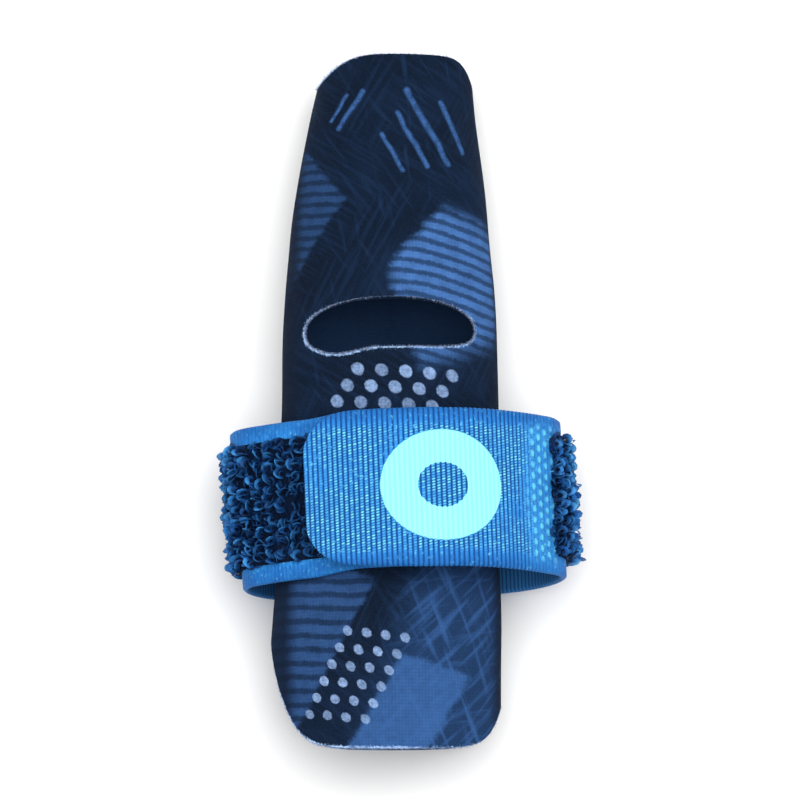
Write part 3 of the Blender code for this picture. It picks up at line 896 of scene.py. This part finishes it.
def build_sleeve(material):
    around, along = 168, 234
    rows = 2 * (along + 1)
    bm = bmesh.new()
    bmesh.ops.create_grid(bm, x_segments=around, y_segments=rows, size=0.5)
    mesh = to_mesh(bm, "sleeve")
    flat = get_points(mesh)
    row = np.rint((flat[:, 1] + 0.5) * rows).astype(int) % rows
    inner = row > along
    step = np.where(inner, rows - 1 - row, row)
    # The rows stand closer together near the two ends, where the fraying is
    share = step / along - 0.05 * np.sin(step / along * 2 * math.pi)
    inset = np.where(inner, SLEEVE_WALL, 0.0)
    set_points(mesh, sleeve_points((flat[:, 0] + 0.5) * 2 * math.pi, share, inset))
    bm = bmesh.new()
    bm.from_mesh(mesh)
    bmesh.ops.remove_doubles(bm, verts=bm.verts[:], dist=0.001 * MM)
    bm.to_mesh(mesh)
    bm.free()
    turn_outward(mesh)

    outline = slot_outline(140)
    bm = bmesh.new()
    bmesh.ops.create_circle(bm, cap_ends=True, radius=1.0, segments=len(outline))
    bm.verts.ensure_lookup_table()
    for vertex in bm.verts:
        turn = math.atan2(vertex.co.y, vertex.co.x) / (2 * math.pi) * len(outline)
        x, y = outline[round(turn) % len(outline)]
        vertex.co = (x, y, UNDER_SLEEVE + SLEEVE_DEPTH / 2)
    thicken(bm, SLEEVE_DEPTH)
    prism = to_mesh(bm, "slot_prism")
    turn_outward(prism)
    cut = cut_away(mesh, prism)

    points = get_points(cut)
    half_width, half_depth, middle, lift = section(points[:, 1])
    nx = (points[:, 0] - middle) / half_width
    nz = (points[:, 2] - lift - half_depth) / half_depth
    radius = (abs(nx) ** SLEEVE_OVAL + abs(nz) ** SLEEVE_OVAL) ** (1 / SLEEVE_OVAL)
    inside = np.where(radius > 0.985, 0.0, 1.0)
    angle = np.arctan2(
        np.copysign(abs(nz) ** (SLEEVE_OVAL / 2), nz),
        np.copysign(abs(nx) ** (SLEEVE_OVAL / 2), nx),
    )
    # Distance round the outer face from the middle of the front, to the right and to the left
    turns = np.linspace(-math.pi / 2, 1.5 * math.pi, 1201)
    ex, ez = oval(turns, SLEEVE_OVAL)
    steps = np.hypot(np.diff(ex * SLEEVE_WIDTH / 2), np.diff(ez * SLEEVE_DEPTH / 2))
    lengths = np.concatenate([[0.0], np.cumsum(steps)])
    front = np.interp(math.pi / 2, turns, lengths)
    angle = np.where(angle < -math.pi / 2, angle + 2 * math.pi, angle)
    round_front = (front - np.interp(angle, turns, lengths)) * half_width / (SLEEVE_WIDTH / 2)
    base, tip = sleeve_ends(*(np.clip(n / np.maximum(radius, 0.5), -1, 1) for n in (nx, nz)))
    from_base = np.clip(1 - (points[:, 1] - base) / END_FRAY, 0.0, 1.0)
    from_tip = np.clip(1 - (tip - points[:, 1]) / END_FRAY, 0.0, 1.0)
    fray = np.maximum(from_base * fray_at_base(points[:, 0]), from_tip * fray_at_tip(points[:, 0]))
    front_part = points[:, 2] > UNDER_SLEEVE + SLEEVE_DEPTH / 2
    fray[front_part] = np.maximum(fray[front_part], fray_at_slot(outline, points[front_part]))
    set_values(cut, around=round_front, along=points[:, 1], inside=inside, fray=fray)
    out = sleeve_relief(round_front, points[:, 1])
    length = np.hypot(nx / half_width, nz / half_depth)
    points[:, 0] += out * nx / half_width / length
    points[:, 2] += out * nz / half_depth / length
    points[:, 2] = np.maximum(points[:, 2], 0.0)
    set_points(cut, points)
    cut.shade_smooth()
    cut.set_sharp_from_angle(angle=math.radians(50))
    return add_piece("sleeve_fabric", cut, material, ["finger_sleeve"], smooth=False)


def distance_to(outline, points):
    """How far each point is from a closed outline, in its plane."""
    best = np.full(len(points), np.inf)
    for a, b in zip(outline, np.roll(outline, -1, axis=0)):
        edge = b - a
        share = np.clip(((points - a) @ edge) / (edge @ edge), 0.0, 1.0)
        best = np.minimum(best, np.hypot(*(points - a - share[:, None] * edge).T))
    return best


def cut_away(mesh, cutter):
    """The mesh less the cutter."""
    target = bpy.data.objects.new("cut", mesh)
    tool = bpy.data.objects.new("tool", cutter)
    for obj in (target, tool):
        bpy.context.scene.collection.objects.link(obj)
    modifier = target.modifiers.new("cut", "BOOLEAN")
    modifier.operation = "DIFFERENCE"
    modifier.solver = "EXACT"
    modifier.object = tool
    bpy.context.view_layer.update()
    result = bpy.data.meshes.new_from_object(target.evaluated_get(bpy.context.evaluated_depsgraph_get()))
    for obj in (target, tool):
        bpy.data.objects.remove(obj)
    return result


def rib(run):
    """The rounded profile of the webbing's ribs, 0 in the grooves and 1 on the crests."""
    return abs(np.sin(math.pi * run / RIB_PITCH)) ** 0.8


def build_webbing(material):
    start = -INNER_REACH
    length = TAB_END - start
    mesh = slab(round(length / RIB_PITCH * 4), 50)
    flat = get_points(mesh)
    run = start + flat[:, 0] * length
    v = 2 * flat[:, 1] - 1
    v = 1.18 * v - 0.18 * v ** 3
    side = 2 * flat[:, 2] - 1
    # The ribs stand up on the tab and are drawn flat toward the bends
    ribbed = smoothstep((run - LOOP_LENGTH + 19.5 * MM) / (6 * MM))
    crest = 1 - (1 - rib(run)) * (0.25 + 0.75 * ribbed)
    short = np.clip(run - (TAB_END - TAB_CORNER), 0.0, TAB_CORNER)
    half = STRAP_WIDTH / 2 - TAB_CORNER + np.sqrt(TAB_CORNER ** 2 - short ** 2) - 0.09 * MM * (1 - crest)
    # The inner end lies a little askew, hidden by the tab
    askew = 0.7 * MM * smoothstep((TAB_REACH + 1 * MM - run) / (7 * MM))
    taper = TAB_TAPER * smoothstep((run - TAB_END) / TAPER_LENGTH + 1)
    across = v * half + taper * (1 - v) / 2
    from_edge = np.clip((1 - abs(v)) * half / (0.45 * MM), 0.0, 1.0)
    roundness = np.sqrt(1 - (1 - from_edge) ** 2) * 0.72 + 0.28
    from_end = np.clip(np.minimum(TAB_END - run, run - start) / (0.4 * MM), 0.0, 1.0)
    roundness *= np.sqrt(1 - (1 - from_end) ** 2) * 0.6 + 0.4
    out = side * (WEBBING_THICKNESS / 2 - RIB_HEIGHT * (1 - crest)) * roundness
    set_points(mesh, strap_points(run, across + askew, out))
    set_values(mesh, run=run, across=across, side=side, ribbed=ribbed)
    turn_outward(mesh)
    return add_piece("strap_weave", mesh, material, ["strap_webbing"]), length


def build_backing(material):
    """The woven ground that the pile's loops stand in."""
    start = -PILE_REACH
    length = RIGHT_BEND + PILE_START - start
    mesh = slab(round(length / (0.5 * MM)), 30)
    flat = get_points(mesh)
    run = start + flat[:, 0] * length
    across = (flat[:, 1] - 0.5) * PILE_WIDTH
    low = WEBBING_THICKNESS / 2 + 0.04 * MM
    out = low + flat[:, 2] * 0.4 * MM
    set_points(mesh, strap_points(run, across, out))
    turn_outward(mesh)
    return add_piece("pile_backing", mesh, material, ["loop_pile"]), length


def loop_template(thickness):
    """One loop of thread: most of a ring of tube, standing on its open end."""
    bm = bmesh.new()
    bmesh.ops.create_circle(bm, cap_ends=False, radius=thickness, segments=5)
    bmesh.ops.rotate(bm, verts=bm.verts[:], cent=(0, 0, 0), matrix=Matrix.Rotation(math.pi / 2, 3, "X"))
    bmesh.ops.translate(bm, verts=bm.verts[:], vec=(1.0, 0.0, 0.0))
    bmesh.ops.rotate(bm, verts=bm.verts[:], cent=(0, 0, 0), matrix=Matrix.Rotation(math.radians(40), 3, "Y"))
    ring = bm.verts[:] + bm.edges[:]
    bmesh.ops.spin(bm, geom=ring, cent=(0, 0, 0), axis=(0, 1, 0), angle=math.radians(-260), steps=8)
    return to_mesh(bm, "loop")


def scatter_loops(random, template, run, across, size, lean, floor, stretch):
    """Copies of a loop on the strap at run and across, each with its own size, lean, stretch and turn.

    Returns each copy's points, and how tall each point is (raised at the outermost loops for painted rim
    light), how shaded and how far round its twist each point is."""
    points = get_points(template)
    count = len(run)
    turn = random.uniform(0, 2 * math.pi, count)
    x = points[None, :, 0] * size[:, None]
    y = points[None, :, 1] * size[:, None]
    z = (points[None, :, 2] + 0.55) * size[:, None] * random.uniform(0.85, 1.2, count)[:, None]
    y, z = turned(y, z, lean[:, None])
    x, y = turned(x, y, turn[:, None])
    out = floor[:, None] + np.maximum(z * stretch[:, None], -0.1 * MM)
    # The tab presses the pile flat, and so does the surface that the part lies on
    all_run = run[:, None] + x
    pressed = WEBBING_THICKNESS / 2 + GAP + PILE_THICKNESS
    lying = abs(all_run - LOOP_LENGTH / 2) < FLAT_HALF + 4 * MM
    under_tab = all_run < TAB_REACH - 0.3 * MM
    limit = pressed - 0.06 * MM * random.random(count)[:, None]
    out = np.where(lying | under_tab, np.minimum(out, limit), out)
    places = strap_points(all_run.ravel(), (across[:, None] + y).ravel(), out.ravel())
    places[:, 2] = np.maximum(places[:, 2], 0.02 * MM)
    tall_and_rim_lit = np.clip((out - floor[:, None] - 0.1 * MM) / (1.15 * MM * stretch[:, None]), 0.0, 1.0)
    # The outermost loops at the bends count as taller, so they get painted rim light
    outermost = smoothstep((abs(places[:, 0]) - LOOP_HALF - 1.3 * MM) / (0.9 * MM)).reshape(tall_and_rim_lit.shape)
    tall_and_rim_lit = np.clip(tall_and_rim_lit + 0.4 * outermost, 0.0, 1.0)
    shade = np.repeat((random.random(count) ** 1.4)[:, None], len(points), axis=1)
    twist = np.tile(np.arctan2(points[:, 2], points[:, 0]) * 7 / math.pi, (count, 1)) + shade * 7
    return places.reshape(count, len(points), 3), tall_and_rim_lit, shade, twist


def build_pile(material):
    """Fat curls of yarn in rows of tufts, and thin stray loops, in three pieces round the strap."""
    random = np.random.default_rng(SEED)
    start = -PILE_REACH + 0.4 * MM
    end = RIGHT_BEND + PILE_START + 0.1 * MM
    columns = round((end - start) / (1.72 * MM))
    spread = PILE_WIDTH - 1.3 * MM
    rows = round(spread / (1.32 * MM))
    grid = np.array([(i, j) for i in range(columns + 1) for j in range(rows + 1)], float)
    tuft_run = start + grid[:, 0] * (end - start) / columns
    tuft_across = ((grid[:, 1] + 0.5 * (grid[:, 0] % 2) - 0.25) / rows - 0.5) * spread
    fat = (loop_template(0.50), 5, 0.24, 0.20, (0.42, 0.56), 0.9)
    thin = (loop_template(0.18), 1, 0.5, 0.4, (0.42, 0.68), 0.6)
    pieces = {"pile_left": [], "pile_back": [], "pile_right": []}
    for template, each, stray_run, stray_across, sizes, leaning in (fat, thin):
        run, across = (np.repeat(a, each) for a in (tuft_run, tuft_across))
        count = len(run)
        run = np.clip(run + random.normal(0, stray_run, count) * MM, start - 0.2 * MM, end + 0.15 * MM)
        limit = PILE_WIDTH / 2 - 0.45 * MM
        across = np.clip(across + random.normal(0, stray_across, count) * MM, -limit, limit)
        size = random.uniform(*sizes, count) * MM
        lean = random.normal(0, leaning, count)
        # The pile opens out where the band bends round the sides, most at the lower left
        left_bend = np.exp(-((run - LOOP_LENGTH + RIGHT_BEND) / (7 * MM)) ** 2)
        right_bend = np.exp(-((run - RIGHT_BEND) / (6 * MM)) ** 2)
        bends = left_bend * (2.1 - 1.5 * across / PILE_WIDTH) + right_bend * (2.0 - 1.5 * across / PILE_WIDTH)
        ground = np.where(run > end - 0.2 * MM, 0.1, 0.3) * MM
        floor = WEBBING_THICKNESS / 2 + ground + 0.2 * PILE_OPENS * bends
        stretch = 1 + 0.8 * PILE_OPENS * bends / LOOP_RISE
        placed = scatter_loops(random, template, run, across, size, lean, floor, stretch)
        for name, part in zip(pieces, np.array_split(np.argsort(run, kind="stable"), 3)):
            values = {"height": placed[1][part], "shade": placed[2][part], "twist": placed[3][part]}
            pieces[name].append(many(template, placed[0][part], values))
    wholes = {name: joined(meshes) for name, meshes in pieces.items()}
    return [add_piece(name, mesh, material, ["loop_pile"]) for name, mesh in wholes.items()]


def joined(meshes):
    """One mesh of several."""
    bm = bmesh.new()
    for mesh in meshes:
        bm.from_mesh(mesh)
    return to_mesh(bm, "joined")


def build_fuzz(material):
    """Short frayed ends along the sleeve's cut edges."""
    random = np.random.default_rng(SEED + 1)
    bm = bmesh.new()
    bmesh.ops.create_cone(bm, cap_ends=False, radius1=1.0, radius2=0.25, depth=1.0, segments=3)
    bmesh.ops.translate(bm, verts=bm.verts[:], vec=(0.0, 0.0, 0.5))
    template = to_mesh(bm, "fibre")
    points = get_points(template)

    turns = random.uniform(0, 2 * math.pi, 7000)
    share = np.where(np.arange(len(turns)) % 5 < 3, 0.0, 1.0)
    rims = sleeve_points(turns, share, random.uniform(0.0, 0.3, len(turns)) * MM)
    chance = np.where(share > 0.5, fray_at_tip(rims[:, 0]), fray_at_base(rims[:, 0]))
    kept = random.random(len(turns)) < chance
    rims = rims[kept]
    away = np.zeros_like(rims)
    away[:, 1] = np.where(share[kept] > 0.5, 1.0, -1.0)

    outline = slot_outline(1400)
    pick = random.integers(0, len(outline), 3600)
    chance = fray_at_slot(outline, outline[pick])
    pick = pick[random.random(len(pick)) < chance]
    flat = outline[pick]
    half_width, half_depth, middle, lift = section(flat[:, 1])
    across = np.clip(abs(flat[:, 0] - middle) / half_width, 0, 1)
    up = (1 - across ** SLEEVE_OVAL) ** (1 / SLEEVE_OVAL)
    slot_rims = np.stack([flat[:, 0], flat[:, 1], lift + half_depth * (1 + up)], axis=1)
    slot_rims[:, 2] -= random.uniform(0.0, 0.3, len(pick)) * MM
    tangent = np.roll(outline, -1, axis=0)[pick] - np.roll(outline, 1, axis=0)[pick]
    tangent /= np.hypot(*tangent.T)[:, None]
    inward = np.stack([-tangent[:, 1], tangent[:, 0], np.full(len(pick), 0.5)], axis=1)

    roots = np.concatenate([rims, slot_rims])
    along = np.concatenate([away, inward]) + random.normal(0, 0.6, (len(roots), 3))
    along /= np.linalg.norm(along, axis=1)[:, None]
    helper = np.cross(along, random.normal(0, 1, along.shape))
    helper /= np.linalg.norm(helper, axis=1)[:, None]
    other = np.cross(along, helper)
    length = random.uniform(0.1, 0.38, len(roots)) * MM
    thick = random.uniform(0.014, 0.030, len(roots)) * MM
    places = (
        roots[:, None]
        + helper[:, None] * (points[None, :, 0, None] * thick[:, None, None])
        + other[:, None] * (points[None, :, 1, None] * thick[:, None, None])
        + along[:, None] * (points[None, :, 2, None] * length[:, None, None])
    )
    places[:, :, 2] = np.maximum(places[:, :, 2], 0.01 * MM)
    shade = np.repeat(random.random(len(roots))[:, None], len(points), axis=1)
    mesh = many(template, places, {"shade": shade})
    return add_piece("frayed_edges", mesh, material, ["finger_sleeve"])


def build_hooks(material):
    """The hook tape under the tab: a thin strip set with small stems with round heads."""
    end = TAB_END - HOOK_INSET
    start = end - HOOK_LENGTH
    low = -(WEBBING_THICKNESS / 2 + GAP + HOOK_THICKNESS)
    mesh = slab(40, 24)
    flat = get_points(mesh)
    under = -WEBBING_THICKNESS / 2 - 0.02 * MM - (1 - flat[:, 2]) * 0.3 * MM
    set_points(mesh, strap_points(start + flat[:, 0] * HOOK_LENGTH, (flat[:, 1] - 0.5) * HOOK_WIDTH, under))
    turn_outward(mesh)
    tape = add_piece("hook_tape", mesh, material, ["hook_patch"])

    bm = bmesh.new()
    bmesh.ops.create_cone(bm, cap_ends=False, radius1=0.10, radius2=0.22, depth=1.0, segments=6)
    template = to_mesh(bm, "stem")
    points = get_points(template)
    rows = np.linspace(-0.46, 0.46, 18) * HOOK_WIDTH
    columns = np.linspace(0.04, 0.96, 14) * HOOK_LENGTH + start
    across, run = np.meshgrid(rows, columns)
    all_run = run.ravel()[:, None] + points[None, :, 0] * MM
    all_across = across.ravel()[:, None] + points[None, :, 1] * MM
    out = np.tile(low + (0.5 - points[:, 2]) * 0.42 * MM, run.size)
    places = strap_points(all_run.ravel(), all_across.ravel(), out).reshape(run.size, len(points), 3)
    stems = add_piece("hook_stems", many(template, places, {}), material, ["hook_patch"])
    return tape, stems


def add_stage():
    """A pale floor and soft light from wide panels."""
    bm = bmesh.new()
    bmesh.ops.create_grid(bm, x_segments=1, y_segments=1, size=1.5)
    floor = bpy.data.objects.new("floor", to_mesh(bm, "floor"))
    bpy.context.scene.collection.objects.link(floor)
    material, _, shader = new_material("floor", 0.9, specular=0.1)
    shader["Base Color"].default_value = (0.93, 0.93, 0.93, 1.0)
    floor.data.materials.append(material)

    world = bpy.data.worlds.new("room")
    world.use_nodes = True
    background = world.node_tree.nodes["Background"].inputs
    background["Color"].default_value = (1.0, 1.0, 1.0, 1.0)
    background["Strength"].default_value = 0.56
    bpy.context.scene.world = world

    panels = {
        "overhead": ((0.04, 0.02, 0.75), 0.75, 5.8),
        "key": ((0.42, 0.10, 0.50), 0.25, 0.5),
        "fill": ((-0.42, -0.04, 0.42), 0.30, 0.25),
    }
    for name, (place, size, power) in panels.items():
        data = bpy.data.lights.new(name, "AREA")
        data.shape = "DISK"
        data.size = size
        data.energy = power
        light = bpy.data.objects.new(name, data)
        light.location = place
        light.rotation_euler = (Vector((0.0, 0.0, 0.01)) - Vector(place)).to_track_quat("-Z", "Y").to_euler()
        bpy.context.scene.collection.objects.link(light)
    bpy.context.scene.view_settings.view_transform = "Standard"


def main():
    add_camera()
    add_stage()
    mottle = make_cloth_mottle()
    sleeve = build_sleeve(make_sleeve_material(mottle, make_knit(), make_pen_stroke(), make_pen_hatch()))
    edges = build_fuzz(make_fuzz_material(mottle))
    webbing, webbing_length = build_webbing(make_webbing_material(mottle))
    backing, pile_length = build_backing(make_backing_material(mottle))
    pile = build_pile(make_pile_material(mottle))
    tape, stems = build_hooks(make_hook_material(mottle))


main()
